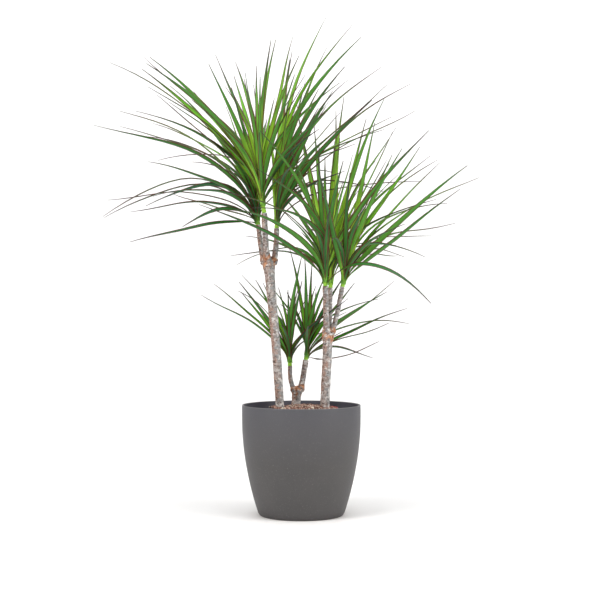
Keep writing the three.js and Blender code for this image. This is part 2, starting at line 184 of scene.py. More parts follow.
def add_to(whole, bm):
    """Adds one bmesh to another that is still being made, and frees it."""
    part = bpy.data.meshes.new("part")
    bm.to_mesh(part)
    bm.free()
    whole.from_mesh(part)
    bpy.data.meshes.remove(part)


def settled(made):
    """Applies an object's modifiers to its mesh."""
    whole = bpy.data.meshes.new_from_object(made.evaluated_get(bpy.context.evaluated_depsgraph_get()))
    rough, made.data = made.data, whole
    made.modifiers.clear()
    bpy.data.meshes.remove(rough)


def spun(profile, steps):
    """Turns a section, given as (radius, height) from axis to axis, once round Z."""
    bm = bmesh.new()
    points = [bm.verts.new((radius, 0, height)) for radius, height in profile]
    edges = [bm.edges.new(pair) for pair in zip(points, points[1:])]
    once_round = {"cent": (0, 0, 0), "axis": (0, 0, 1), "angle": 2 * math.pi, "steps": steps}
    bmesh.ops.spin(bm, geom=points + edges, use_merge=True, **once_round)
    bmesh.ops.remove_doubles(bm, verts=bm.verts, dist=1e-6)
    bmesh.ops.recalc_face_normals(bm, faces=bm.faces)
    return bm


def rounded(centre, radius, start, end, count=5):
    """Points of a section on an arc from one turn to another, where a turn of 0 points outwards."""
    turns = np.linspace(start, end, count)
    return [(centre[0] + radius * math.cos(turn), centre[1] + radius * math.sin(turn)) for turn in turns]


def pot_radius(height):
    """The cover pot's outer radius: straight above its shoulder, drawn in below it."""
    share = max(0, 1 - height / shoulder)
    return rim_radius - (rim_radius - foot_radius) * share**draw_in


anthracite = Finish("anthracite_plastic")
where = anthracite.where()
speck = anthracite.noise(where, 620, 2)
cloud = anthracite.noise(where, 24, 3)
grain = anthracite.noise(where, 1100, 4)
tint = anthracite.blend(cloud, colour(66, 65, 66), colour(78, 76, 76))
tint = anthracite.blend(anthracite.between(grain, 0.4, 0.7) * 0.35, tint, colour(54, 53, 54))
tint = anthracite.blend(anthracite.between(speck, 0.66, 0.72) * 0.5, tint, colour(132, 130, 128))

# Painted light: a slightly bluer top as painted sheen, a bluish inside and a painted highlight on the lip.
side, back, height = anthracite.axes(where)
from_axis = (side * side + back * back) ** 0.5
# Painted sheen: the plastic is a little bluer towards the top.
tint = anthracite.blend(anthracite.between(height, 0.1, 0.2) * 0.6, tint, colour(78, 79, 87))
# Painted light: the inner wall near the top is painted a lighter, bluish grey.
inside = anthracite.between(from_axis, rim_radius - 0.0010, rim_radius - 0.0018)
inside = inside * anthracite.between(height, 0.165, 0.175)
tint = anthracite.blend(inside, tint, colour(80, 82, 93))
# Painted highlight: a pale, speckled line along the lip.
lip_highlight = anthracite.between(height, pot_height - 0.0012, pot_height - 0.0002)
tint = anthracite.blend(lip_highlight * (0.3 + 0.4 * speck), tint, colour(126, 124, 122))
anthracite.surface(
    Base_Color=tint,
    Roughness=0.46 + 0.16 * cloud,
    Normal=anthracite.bump(0.3, 0.0003, grain),
)

section = [(0, 0), (recess_from, 0), (recess_from + recess_bevel, recess_depth)]
section += [(recess_to - recess_bevel, recess_depth), (recess_to, 0), (foot_radius - heel, 0)]
section += rounded((foot_radius - heel, heel), heel, heel_from - quarter, 0)
section += [(pot_radius(z), z) for z in np.linspace(heel + 0.0013, pot_height - 0.002, outer_rows)]
section += rounded((rim_radius - lip_round, pot_height - lip_round), lip_round, 0, quarter)
inner_lip = (rim_radius - pot_wall + lip_round, pot_height - lip_round - inner_lip_drop)
section += rounded(inner_lip, lip_round, quarter, 2 * quarter)
heights = np.linspace(pot_height - 0.0025, pot_floor + 0.004, inner_rows)
section += [(pot_radius(z) - pot_wall, z) for z in heights]
section.append((pot_radius(pot_floor + 0.002) - pot_wall - 0.001, pot_floor + 0.0012))
section += [(pot_radius(pot_floor) - pot_wall - 0.003, pot_floor), (0, pot_floor)]
cover = piece(spun(section, pot_sides), "cover_pot_shell", anthracite)
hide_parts("cover_pot")

# -------- grower's pot
# A thin tapered pot of dull red plastic with a collar round its rim and drain holes in its floor,
# moulded in one piece. It stands a little to the right inside the cover pot, and only its rim shows.
grower_foot, grower_height, grower_wall = 0.0043, 0.198, 0.0018
grower_rim_radius, grower_foot_radius = 0.062, 0.050
collar_height, collar_step = 0.011, 0.0012
grower_x, grower_y = 0.0075, 0.004
grower_rim = grower_foot + grower_height
drain_holes, drain_ring, drain_radius = 6, 0.038, 0.005
drill_height, drill_length = 0.006, 0.010


def grower_radius(height):
    """The grower's pot's outer radius below its collar."""
    share = (height - grower_foot) / (grower_height - collar_height)
    return grower_foot_radius + (grower_rim_radius - collar_step - grower_foot_radius) * share


terracotta = Finish("terracotta_plastic")
where = terracotta.where()
dust = terracotta.noise(where, 160, 5)
scuff = terracotta.between(dust, 0.5, 0.72)
terracotta.surface(
    Base_Color=terracotta.blend(scuff * 0.5, colour(188, 62, 62), colour(150, 100, 84)),
    Roughness=0.5 + 0.25 * dust,
    Normal=terracotta.bump(0.2, 0.0003, dust),
)

collar = grower_rim - collar_height
floor = grower_foot + 0.002
edge, inner_edge = grower_rim_radius, grower_rim_radius - grower_wall
section = [(0, grower_foot), (grower_foot_radius - 0.002, grower_foot)]
section.append((grower_foot_radius - 0.0003, grower_foot + 0.0008))
section += [(grower_radius(z), z) for z in np.linspace(grower_foot + 0.003, collar, 14)]
section += [(edge - 0.0005, collar), (edge, collar + 0.0006), (edge, grower_rim - 0.0008)]
section += [(edge - 0.0003, grower_rim - 0.0002), ((edge + inner_edge) / 2, grower_rim)]
section += [(inner_edge + 0.0003, grower_rim - 0.0002), (inner_edge, grower_rim - 0.0008)]
section += [(inner_edge - 0.0002, collar + 0.0005), (inner_edge - 0.0010, collar - 0.0008)]
section += [(grower_radius(z) - grower_wall, z) for z in np.linspace(collar - 0.003, floor + 0.002, 12)]
section += [(grower_radius(grower_foot) - 0.003, floor), (0, floor)]
bm = spun(section, 112)
bmesh.ops.translate(bm, verts=bm.verts, vec=(grower_x, grower_y, 0))
grower = piece(bm, "grower_pot_shell", terracotta)
bm = bmesh.new()
for hole in range(drain_holes):
    turn = hole / drain_holes * 2 * math.pi
    place = (grower_x + drain_ring * math.cos(turn), grower_y + drain_ring * math.sin(turn), drill_height)
    drill = {"radius1": drain_radius, "radius2": drain_radius, "depth": drill_length}
    bmesh.ops.create_cone(bm, cap_ends=True, segments=24, matrix=Matrix.Translation(place), **drill)
drills = shown(bm, "drills")
drilled = grower.modifiers.new("drain_holes", "BOOLEAN")
drilled.object = drills
settled(grower)
bpy.data.objects.remove(drills)
grower.data.shade_smooth()
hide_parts("grower_pot")

# -------- soil
# Potting soil fills the grower's pot: loose brown granules with a few pale bits, heaped up towards
# the middle, over the rim's height. The bed below stays plain, and single granules lie over it.
soil_top, soil_dome = grower_rim - 0.003, 0.0065
soil_reach = grower_rim_radius - 0.0035
handfuls, granules_each, smallest, growth = 80, 36, 0.0010, 0.0016
spill_from, spill_turn, spill_reach = 0.84, 0.7, 0.05

earth = Finish("soil_bed")
where = earth.where()
crumb = earth.node("TexVoronoi", {}, {"Vector": where, "Scale": 420})
patch = earth.noise(where, 130, 4)
earth.surface(
    Base_Color=earth.blend(patch, colour(58, 38, 28), colour(112, 80, 62)),
    Roughness=0.95,
    Normal=earth.bump(0.8, 0.001, 1 - crumb),
)
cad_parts["soil"].material_slots[0].material = earth.material

granule = Finish("soil_granule")
where = granule.where()
tone = granule.read("tone")
patch = granule.noise(where, 700, 4)
browns = [
    (0.0, colour(60, 38, 32)),
    (0.35, colour(118, 84, 72)),
    (0.65, colour(166, 126, 112)),
    (0.88, colour(204, 172, 154)),
    (0.93, colour(230, 218, 196)),
    (1.0, colour(236, 228, 214)),
]
hue = granule.node("ValToRGB", {"stops": browns}, {0: tone})
granule.surface(
    Base_Color=granule.blend(patch * 0.4, hue, colour(68, 52, 48)),
    Roughness=0.9,
    Normal=granule.bump(0.6, 0.0004, patch),
)

# The granules are made by the handful, because a small bmesh is quicker to add to.
draw = np.random.default_rng(4)
whole = bmesh.new()
for handful in range(handfuls):
    bm = bmesh.new()
    tones = bm.verts.layers.float.new("tone")
    for number in range(granules_each):
        share = math.sqrt(draw.random())
        around = draw.random() * 2 * math.pi
        size = smallest + growth * draw.random() ** 2
        place = Vector((grower_x, grower_y, soil_top + soil_dome * math.cos(share * quarter)))
        place += soil_reach * share * Vector((math.cos(around), math.sin(around), 0))
        place.z += 0.0016 * draw.random() - 0.0004
        # At the left edge some granules have spilled on and over the rim.
        if share > spill_from and abs(around - math.pi) < spill_turn:
            place.x -= (share - 0.8) * spill_reach * draw.random()
            place.z = grower_rim + 0.4 * size
        stretch = Matrix.Diagonal((*(size * (0.7 + 0.6 * draw.random(3))), 1))
        roll = Matrix.Rotation(draw.random() * 2 * math.pi, 4, Vector(draw.normal(size=3)))
        grain = bmesh.ops.create_icosphere(
            bm, subdivisions=1, radius=1, matrix=Matrix.Translation(place) @ roll @ stretch
        )
        shade = draw.random()
        for vertex in grain["verts"]:
            vertex[tones] = shade
    add_to(whole, bm)
granules = piece(whole, "soil_granules", granule)

# -------- canes
# Three woody canes with grey-brown bark and ring scars where leaves once stood. Each was cut and
# sprouted again at a swollen, rust-brown knuckle, and its stems end under their heads of leaves.

# Canes and leaves are worked out in millimetres, and made in metres.
mm = 0.001
picture_px, axis_px, eye_level_px, soil_px = 600, 301.3, 309, 408
eye_distance, eye_height, focal_px = 2400, 389, 1267
root_end = 114.3
limb_sides, trunk_rings, stem_rings = 20, 90, 24
bark_voxel, bark_smoothings = 0.0008, 3
scar_spacing, scar_depth, lump_height, knuckle_lump = 0.0062, 0.0004, 0.0005, 0.0018


def seen(px, py, depth):
    """The point, in mm, that lies this far behind the pot's axis and is seen at px right, py down."""
    mm_per_px = (eye_distance + depth) / focal_px
    return np.array([(px - axis_px) * mm_per_px, depth, eye_height - (py - eye_level_px) * mm_per_px])


stem_tips = {
    "tall_left": seen(258.3, 225, 30),
    "tall_middle": seen(264.3, 213, -24),
    "tall_right": seen(276.7, 228.5, 10),
    "middle_front": seen(325.4, 286, -24),
    "middle_back": seen(330.4, 288, 32),
    "middle_right": seen(342.4, 287, 4),
    "short_left": seen(289.9, 366, 34),
    "short_right": seen(305.8, 360, 50),
}


def rooted(px, depth, *above):
    """The points of a trunk, from its end deep in the soil up to its knuckle."""
    ground = seen(px, soil_px, depth)
    lean = (ground - above[0]) / (above[0] - ground)[2]
    return [ground + lean * (ground[2] - root_end), ground, *above]


# Each trunk's radius is given low down, high up and at its knuckle, and each stem's after its line.
canes = {
    "tall": {
        "trunk": rooted(280, -6, seen(276.3, 350, -6), seen(271.9, 300, -3), seen(268.8, 264, 0)),
        "radius": (7.6, 9.4, 12),
        "stems": [
            ([seen(264, 264, 4), seen(260.6, 245, 20), stem_tips["tall_left"]], 4.7),
            ([seen(267, 260, -4), seen(265.8, 245, -16), stem_tips["tall_middle"]], 5.6),
            ([seen(273.4, 264, 2), seen(275.9, 247, 7), stem_tips["tall_right"]], 5.2),
        ],
    },
    "middle": {
        "trunk": rooted(324.6, -8, seen(326.3, 375, -8), seen(327.4, 352, -6), seen(327.8, 336, -3)),
        "radius": (8.8, 9.1, 11.5),
        "stems": [
            ([seen(326.3, 336, -6), seen(326, 312, -15), stem_tips["middle_front"]], 5.4),
            ([seen(329, 336, 2), seen(330, 312, 20), stem_tips["middle_back"]], 4.4),
            ([seen(331.5, 334, -2), seen(336.8, 315, 2), stem_tips["middle_right"]], 4.7),
        ],
    },
    "short": {
        "trunk": rooted(295.9, 42, seen(296, 403, 42), seen(296.4, 398, 42), seen(297, 391, 42)),
        "radius": (8.6, 8.6, 10.4),
        "stems": [
            ([seen(294, 391, 40), seen(290.6, 380, 37), stem_tips["short_left"]], 4.4),
            ([seen(300, 391, 44), seen(303, 378, 47), stem_tips["short_right"]], 5.7),
        ],
    },
}


def along_points(points, share):
    """The place at a share of the way along a smooth centripetal curve through points, in mm."""
    reach = (len(points) - 1) * share
    first = min(int(reach), len(points) - 2)
    rest = reach - first
    b, c = points[first], points[first + 1]
    a = points[first - 1] if first > 0 else 2 * points[0] - points[1]
    d = points[first + 2] if first + 2 < len(points) else 2 * points[-1] - points[-2]
    gaps = [np.dot(q - p, q - p) ** 0.25 for p, q in ((a, b), (b, c), (c, d))]
    leave = ((b - a) / gaps[0] - (c - a) / (gaps[0] + gaps[1]) + (c - b) / gaps[1]) * gaps[1]
    arrive = ((c - b) / gaps[1] - (d - b) / (gaps[1] + gaps[2]) + (d - c) / gaps[2]) * gaps[1]
    square = -3 * b + 3 * c - 2 * leave - arrive
    cube = 2 * b - 2 * c + leave + arrive
    return b + leave * rest + square * rest**2 + cube * rest**3


def rod(sides, steps):
    """A closed upright rod of radius 1 from height 0 to 1, with rings to bend it by."""
    bm = bmesh.new()
    half_up = Matrix.Translation((0, 0, 0.5))
    bmesh.ops.create_cone(
        bm, cap_ends=True, segments=sides, radius1=1, radius2=1, depth=1, matrix=half_up
    )
    uprights = [edge for edge in bm.edges if abs(edge.verts[0].co.z - edge.verts[1].co.z) > 0.5]
    bmesh.ops.subdivide_edges(bm, edges=uprights, cuts=steps - 1)
    return bm


def add_limb(whole, points, radius_at, steps):
    """Bends a rod along points, in mm, and adds it to a cane, in metres."""
    bm = rod(limb_sides, steps)
    rings = {}
    for vertex in bm.verts:
        share = round(vertex.co.z, 5)
        if share not in rings:
            ahead = along_points(points, min(1, share + 0.01))
            behind = along_points(points, max(0, share - 0.01))
            way = Vector(ahead - behind).normalized()
            right = Vector((0, 1, 0)).cross(way).normalized()
            rings[share] = (Vector(along_points(points, share)), right, way.cross(right), radius_at(share))
        centre, right, back, radius = rings[share]
        vertex.co = (centre + radius * (vertex.co.x * right + vertex.co.y * back)) * mm
    add_to(whole, bm)


bark = Finish("bark")
where = bark.where()
callus = bark.read("callus")
ring = bark.read("ring")
flank = bark.read("flank")
near_soil = bark.between(bark.axes(where)[2], pot_height + 0.037, pot_height + 0.002)
low_rings = bark.node("Mapping", {}, {"Vector": where, "Scale": (1.0, 1.0, 1.2)})
slanting = bark.node("Mapping", {}, {"Vector": where, "Rotation": (0.5, 0.7, 0), "Scale": (1, 1, 1.7)})
upright = bark.node("Mapping", {}, {"Vector": where, "Scale": (1.0, 1.0, 0.4)})
patch = bark.noise(upright, 70, 3, 0.6)
moss = bark.noise(slanting, 80, 3, 0.6)
rough = bark.noise(low_rings, 170, 5, 0.65)
nick = bark.noise(slanting, 160, 4, 0.7)
flake = bark.noise(where, 118, 3, 0.6)

# A cane is browner on its left side, where side is -0.5, and greyer on its right, where it is 0.5.
side = flank - 0.5
wood, bleached = colour(122, 108, 103), colour(186, 178, 174)
tan, mossy, peeled = colour(160, 120, 101), colour(148, 154, 156), colour(222, 220, 218)
cracked, scarred = colour(74, 56, 48), colour(88, 68, 60)
skin = bark.blend(bark.between(rough, 0.38, 0.62), wood, bleached)
skin = bark.blend(bark.between(patch - 0.25 * side, 0.5, 0.62) * 0.6, skin, tan)
skin = bark.blend(bark.between(moss + 0.25 * side, 0.48, 0.58) * 0.7, skin, mossy)
skin = bark.blend(bark.between(flake + 0.08 * side + 0.06 * near_soil, 0.57, 0.64) * 0.8, skin, peeled)
skin = bark.blend(bark.between(nick - 0.1 * side, 0.56, 0.63) * 0.85, skin, cracked)
skin = bark.blend(ring * 0.6, skin, scarred)
rust, pale_rust = colour(134, 86, 62), colour(202, 150, 116)
crust = bark.blend(bark.between(rough, 0.4, 0.58), rust, pale_rust)
crust = bark.blend(bark.between(flake, 0.55, 0.62) * 0.85, crust, colour(222, 212, 204))
crust = bark.blend(bark.between(nick, 0.55, 0.61) * 0.8, crust, colour(76, 50, 42))
bark.surface(
    Base_Color=bark.blend(callus, skin, crust),
    Roughness=0.9,
    Normal=bark.bump(0.8, 0.0014, rough - nick - 0.6 * ring),
    Specular_IOR_Level=0.2,
)


def trunk_radius(cane, share):
    """How thick a trunk is, in mm, from its root's end up to its swollen knuckle."""
    low, high, swollen = cane["radius"]
    return low + (high - low) * share + (swollen - high) * math.exp(-(((1 - share) / 0.06) ** 2))


def stem_radius(radius, share):
    """How thick a stem is, in mm, from its flared root up to its tip."""
    return radius * (1 + 0.35 * math.exp(-((share / 0.22) ** 2)))


def callused(cane):
    """The round places where a cane was cut and its stems sprouted, with their radii."""
    places = [(Vector(cane["trunk"][-1]) * mm, cane["radius"][2] * mm)]
    for points, radius in cane["stems"]:
        places.append((Vector(points[0] + 0.2 * (points[1] - points[0])) * mm, 1.45 * radius * mm))
    return places


def limbs_of(cane):
    """A cane's trunk, stems and callused places, which still run through each other."""
    bm = bmesh.new()
    add_limb(bm, cane["trunk"], lambda share: trunk_radius(cane, share), trunk_rings)
    for points, radius in cane["stems"]:
        add_limb(bm, points, lambda share: stem_radius(radius, share), stem_rings)
    for place, radius in callused(cane):
        bmesh.ops.create_icosphere(bm, subdivisions=3, radius=radius, matrix=Matrix.Translation(place))
    return bm


def weathered(bm, cane):
    """Roughens a cane's skin with lumps and ring scars, and marks them for the bark's finish."""
    rings = bm.verts.layers.float.new("ring")
    calluses = bm.verts.layers.float.new("callus")
    flanks = bm.verts.layers.float.new("flank")
    places = callused(cane)
    knuckle = places[0][0]
    tops = [Vector(points[-1]) * mm for points, radius in cane["stems"]]
    moves = []
    for vertex in bm.verts:
        spot = vertex.co

        # The scars are rings that wander, fade in patches and are faint below the knuckle.
        wander = 0.006 * noise.noise(spot * 55) + 0.002 * noise.noise(spot * 190)
        scar = (0.5 + 0.5 * math.cos((spot.z + wander) * 2 * math.pi / scar_spacing)) ** 5
        on_stem = 0.12 + 0.88 * min(1, max(0, (spot.z - knuckle.z) / 0.02))
        scar *= on_stem * min(1, max(0.2, 0.6 + 1.6 * noise.noise(spot * 80)))

        # The lumps are larger near a callused place, and a stem's very tip stays under its head.
        lump = noise.noise(spot * 150) + 0.5 * noise.noise(spot * 420)
        near = max(math.exp(-(((spot - place).length / (1.25 * radius)) ** 2)) for place, radius in places)
        held = min(1, min((spot - top).length for top in tops) / 0.006)
        move = lump_height * lump - scar_depth * scar + knuckle_lump * near * lump
        moves.append(vertex.normal * held * move)
        vertex[rings] = scar
        vertex[flanks] = 0.5 + 0.5 * vertex.normal.x
        vertex[calluses] = min(1, max(0, 4.0 * (near - 0.4 + 0.5 * noise.noise(spot * 150))))
    for vertex, move in zip(bm.verts, moves):
        vertex.co += move


for name, cane in canes.items():
    limbs = piece(limbs_of(cane), f"cane_{name}_bark", bark)
    grown = limbs.modifiers.new("one_skin", "REMESH")
    grown.mode = "VOXEL"
    grown.voxel_size = bark_voxel
    settled(limbs)
    bm = bmesh.new()
    bm.from_mesh(limbs.data)
    for turn in range(bark_smoothings):
        bmesh.ops.smooth_vert(
            bm, verts=bm.verts, factor=0.5, use_axis_x=True, use_axis_y=True, use_axis_z=True
        )
    bm.normal_update()
    weathered(bm, cane)
    bm.to_mesh(limbs.data)
    bm.free()
    limbs.data.shade_smooth()
    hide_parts(f"cane_{name}")

# -------- heads of leaves
# Each stem ends in a short core of pale clasping leaf bases, with long narrow leaves all round it:
# the young ones upright and light green, the old ones low, dark and bluish, all edged in maroon.
golden_angle, core_radius, lowest_parting, highest_parting = 2.39996, 8, 0.12, 0.8

# A leaf that would touch another is moved by steps of depth, in mm, or of turn, in radians. Leaves
# keep some room between them, except in their own head below the rooting share of their length.
tries, depth_step, turn_step = 40, 13, 0.11
widest, room, rooting = 25, 1.2, 0.36

# A leaf that shows is given as the pixel of its tip, right and down, how far its tip lies behind the
# pot's axis in mm, its bow in pixels, and how far its face turns to the front. The rest of a head,
# "more", is set by a rule from a count, a length in mm, a first turn and a seed.
heads = {
    "tall_left": {
        "top": seen(254, 198, 32),
        "more": {"count": 14, "length": 300, "turn": 0.2, "seed": 11},
        "leaves": [
            (120, 108, 60, 19, 0.1),
            (136, 115, -90, 28, 0.2),
            (153, 125, 170, 21, 0),
            (94, 129, -60, 25, 0.4),
            (120, 129, 130, 23, 0),
            (148, 161, -150, 11, 0.2),
            (102, 215, -90, 38, 0.1),
            (107, 222, 60, 36, 0),
            (109, 204, 120, 18, 0),
            (153, 197, -190, 19, 0.3),
            (151, 208, -140, 30, 0.6),
            (131, 214, -30, 14, 0.3),
            (173, 196, 210, -2, 0),
            (130, 242, -60, 5, 0.4),
            (182, 228, -150, 15, 0.6),
        ],
    },
    "tall_middle": {
        "top": seen(257.5, 172, -28),
        "more": {"count": 15, "length": 270, "turn": 1, "seed": 12},
        "leaves": [
            (150, 57, -60, 11, 0.8),
            (147, 64, -130, 15, 0.9),
            (141, 63, 40, 13, 0.1),
            (142, 69, -20, 8, 0.8),
            (109, 64, 10, 18, 0.1),
            (149, 85, 110, 10, 0.1),
            (167, 105, 170, 10, 0.1),
            (209, 66, -140, 3, 0.8),
            (213, 59, 120, 9, 0.1),
            (231, 88, -100, 1, 0.8),
            (234, 77, 150, 3, 1),
            (236, 64, 190, 7, 0.5),
            (244, 80, 90, 3, 0.2),
            (256, 68, 150, 0, 0.4),
            (260, 77, -150, 0, 0.8),
            (271, 40, -120, 4, 1),
            (275, 39, -60, 5, 1),
            (293, 35, 40, 0, 0.3),
            (298, 56, -90, 5, 1),
        ],
    },
    "tall_right": {
        "top": seen(277, 196, 8),
        "more": {"count": 14, "length": 280, "turn": 1.95, "seed": 13},
        "leaves": [
            (326, 17, 30, 14, 0.5),
            (349, 23, -40, 20, 0.2),
            (361, 38, -80, 24, 0.8),
            (329, 51, 140, 10, 0.2),
            (345, 66, -110, 14, 0.9),
            (319, 88, 180, 5, 0.6),
            (307, 84, 130, 4, 0.6),
            (347, 79, 160, 12, 0.2),
            (383, 70, 50, 22, 0.4),
            (389, 87, -40, 11, 0.1),
            (372, 100, -130, 6, 0.9),
            (409, 81, 90, 11, 0.3),
            (393, 118, 130, 16, 0.2),
            (417, 117, 60, 17, 0),
            (420, 188, 110, 17, 0),
            (293, 52, 190, 4, 0.2),
            (289, 63, 110, 3, 0.4),
        ],
    },
    "middle_front": {
        "top": seen(324.2, 262, -26),
        "more": {"count": 14, "length": 270, "turn": 0.7, "seed": 14},
        "leaves": [
            (260, 130, -120, 15, 0.8),
            (256, 169, -180, 22, 0.6),
            (252, 208, -210, 28, 0.4),
            (231, 207, -180, 15, 0.8),
            (199, 203, -150, 8, 0.4),
            (237, 266, 170, 26, 0.2),
            (284, 212, -80, 5, 0),
            (303, 136, 50, 2, 0.7),
            (296, 108, 60, 2, 0.5),
            (290, 148, 20, 3, 0.4),
            (314, 127, 100, 1, 0.5),
            (318, 147, -150, 0, 1),
            (325, 157, 90, 0, 0.5),
            (340, 138, -30, -2, 0.7),
            (429, 131, -70, 9, 0.7),
            (431, 305, -150, 27, 0.5),
        ],
    },
    "middle_back": {
        "top": seen(332, 264, 36),
        "more": {"count": 10, "length": 260, "turn": 0.1, "seed": 15},
        "leaves": [
            (384, 99, -20, 8, 0.7),
            (366, 120, 90, 2, 0.6),
            (391, 131, 80, 1, 0.1),
            (397, 129, 150, 12, 0.1),
            (421, 150, 60, 1, 0.7),
            (430, 156, 110, 13, 0.2),
            (344, 97, 60, 5, 0.1),
            (336, 111, 110, -2, 0.1),
            (335, 142, 40, 3, 0.5),
        ],
    },
    "middle_right": {
        "top": seen(347.5, 262, 2),
        "more": {"count": 12, "length": 270, "turn": 2.8, "seed": 16},
        "leaves": [
            (375, 123, -60, 1, 1),
            (392, 155, -30, 2, 0.9),
            (442, 166, 60, 7, 0.2),
            (466, 165, -60, 2, 0.9),
            (480, 183, 60, 19, 0.1),
            (460, 190, -110, -1, 0.4),
            (455, 229, 150, 20, 0.2),
            (424, 259, -130, 27, 0.3),
            (404, 257, 180, 19, 0.4),
            (398, 260, 230, 15, 0),
            (318, 167, -150, -1, 0.9),
        ],
    },
    "short_left": {
        "top": seen(289.5, 347, 34),
        "more": {"count": 9, "length": 175, "turn": 0.25, "seed": 17},
        "leaves": [
            (242, 275, 90, 8, 0.1),
            (239, 282, 20, 2, 0.9),
            (241, 292, 60, 1, 0.7),
            (213, 285, 40, 4, 0.3),
            (200, 297, 10, 7, 0.3),
            (256, 281, 130, 3, 0.5),
            (262, 283, 90, 2, 0.5),
            (278, 288, 70, 3, 0.2),
            (288, 290, -30, 0, 0.7),
            (302, 257, -60, 4, 1),
            (322, 322, 110, 6, 0.2),
        ],
    },
    "short_right": {
        "top": seen(308, 340, 52),
        "more": {"count": 9, "length": 185, "turn": 0.4, "seed": 18},
        "leaves": [
            (289, 247, 70, 2, 0.6),
            (305, 258, -30, 0, 0.9),
            (312, 263, 70, 0, 0.5),
            (317, 293, 130, 0, 0.3),
            (355, 284, 70, 2, 0.6),
            (345, 275, 120, 3, 0.9),
            (395, 283, 80, 1, 0.1),
            (388, 294, 50, 6, 0.5),
            (407, 308, 80, 1, 0.4),
            (409, 323, 110, 15, 0.1),
            (390, 326, 30, 2, 0.1),
            (378, 340, 40, -10, 0.1),
            (373, 360, 140, 11, 0.4),
            (281, 303, 100, 3, 0.3),
            (287, 292, 20, 2, 0.6),
        ],
    },
}


def unit(vector):
    """A vector's direction, with a length of 1."""
    return vector / np.linalg.norm(vector)


def draws(seed):
    """A repeatable run of random numbers from 0 to 1, the one that the solid leaves are set by."""
    state = seed
    while True:
        state = (state * 1664525 + 1013904223) % 2**32
        yield state / 2**32


def leaf_parting(name, tip):
    """Where a leaf parts from the core: the higher it aims, the higher up."""
    base, top = stem_tips[name], heads[name]["top"]
    reach = tip - base
    share = 0.25 + 0.55 * reach[2] / np.linalg.norm(reach)
    return base + min(highest_parting, max(lowest_parting, share)) * (top - base)


def seen_leaf(name, leaf, moved):
    """A leaf that shows: its parting from the core, its tip, its bow and the way across it."""
    px, py, depth, bow, faced = leaf
    tip = seen(px, py, depth + moved)
    parting = leaf_parting(name, tip)
    chord = tip - parting

    # It bows upwards. Its width lies in the picture's plane where it is faced, and is level otherwise.
    lift = unit(np.array([-chord[2], 0, chord[0]]))
    facing = lift
    if lift[2] < 0:
        lift = -lift
    lift = lift * (bow * eye_distance / focal_px)
    lift[1] = -0.08 * chord[1]
    flat = unit(np.array([-chord[1], chord[0], 0]))
    if np.dot(facing, flat) < 0:
        facing = -facing
    return parting, tip, lift, unit(flat + faced * (facing - flat))


def ruled_leaf(name, number, turned):
    """A leaf that fills the head, at the golden angle from the last and lower than it."""
    rule, base = heads[name]["more"], stem_tips[name]
    random = draws(rule["seed"] * 1000 + number)
    age = (number + 0.5) / rule["count"]
    around = rule["turn"] + number * golden_angle + turned

    # Young ones stand steeply, old ones lie low, and more point to the front and back than sideways.
    rise = 1.3 - 0.95 * age + 0.2 * (next(random) - 0.5)
    share = 0.72 + 0.3 * math.sin(math.pi * min(1, age * 1.2)) + 0.1 * next(random)
    long = rule["length"] * share
    way = unit(np.array([0.62 * math.cos(around), math.sin(around), 0]))
    tip = base + long * math.cos(rise) * way
    tip[2] += long * math.sin(rise)
    parting = leaf_parting(name, tip)
    bow = 0.04 + 0.2 * age * next(random)
    lift = -math.sin(rise) * way
    lift[2] = math.cos(rise)
    roll = 1.2 * (next(random) - 0.5)
    side = np.array([-way[1] * math.cos(roll), way[0] * math.cos(roll), math.sin(roll)])
    return parting, tip, lift * (bow * long), side


def full_width(length):
    """How wide a leaf of this length is at its widest, in mm."""
    return 6 + 0.024 * length


def leaf_width(length, share):
    """How wide a leaf is, in mm, at a share of the way from its root to its pointed tip."""
    ease = np.minimum(1, share / 0.35)
    return full_width(length) * (0.4 + 0.6 * ease * ease * (3 - 2 * ease)) * (1 - share**2.2)


def bezier(ends, shares):
    """Points and directions along a cubic curve of four control points."""
    t = np.asarray(shares, float)[:, None]
    points = (1 - t) ** 3 * ends[0] + 3 * (1 - t) ** 2 * t * ends[1]
    points += 3 * (1 - t) * t**2 * ends[2] + t**3 * ends[3]
    ways = (1 - t) ** 2 * (ends[1] - ends[0]) + 2 * (1 - t) * t * (ends[2] - ends[1])
    ways += t**2 * (ends[3] - ends[2])
    return points, ways / np.linalg.norm(ways, axis=1, keepdims=True)


def leaf_line(name, parting, tip, lift, shares):
    """Points and directions along a leaf, from its root halfway up to its parting, to its tip."""
    root = stem_tips[name] + 0.5 * (parting - stem_tips[name])
    chord = tip - parting
    ends = [root, parting + 0.22 * chord + 1.5 * lift, parting + 0.62 * chord + 1.15 * lift, tip]
    return bezier(ends, shares)


# What stands already, that a leaf has to pass: points, half widths, places along a leaf, and owners.
standing = {"points": np.empty((0, 3)), "reach": np.empty(0), "share": np.empty(0), "owner": np.empty(0)}


def stand(points, reach, share, owner):
    """Adds points to what stands, with the head that they belong to, or none for a cane."""
    every = np.ones(len(points))
    new = {"points": np.array(points), "reach": every * reach, "share": every * share}
    new["owner"] = every * list(heads).index(owner) if owner in heads else every * -1
    for key in standing:
        standing[key] = np.concatenate([standing[key], new[key]])


steps = np.linspace(0, 1, 31)
for name, cane in canes.items():
    stand([along_points(cane["trunk"], s) for s in steps], cane["radius"][0], 0, None)
    for points, radius in cane["stems"]:
        stand([along_points(points, s) for s in steps], radius, 0, None)
for name, head in heads.items():
    base = stem_tips[name]
    stand([base + s * (head["top"] - base) for s in steps], core_radius, 0, name)


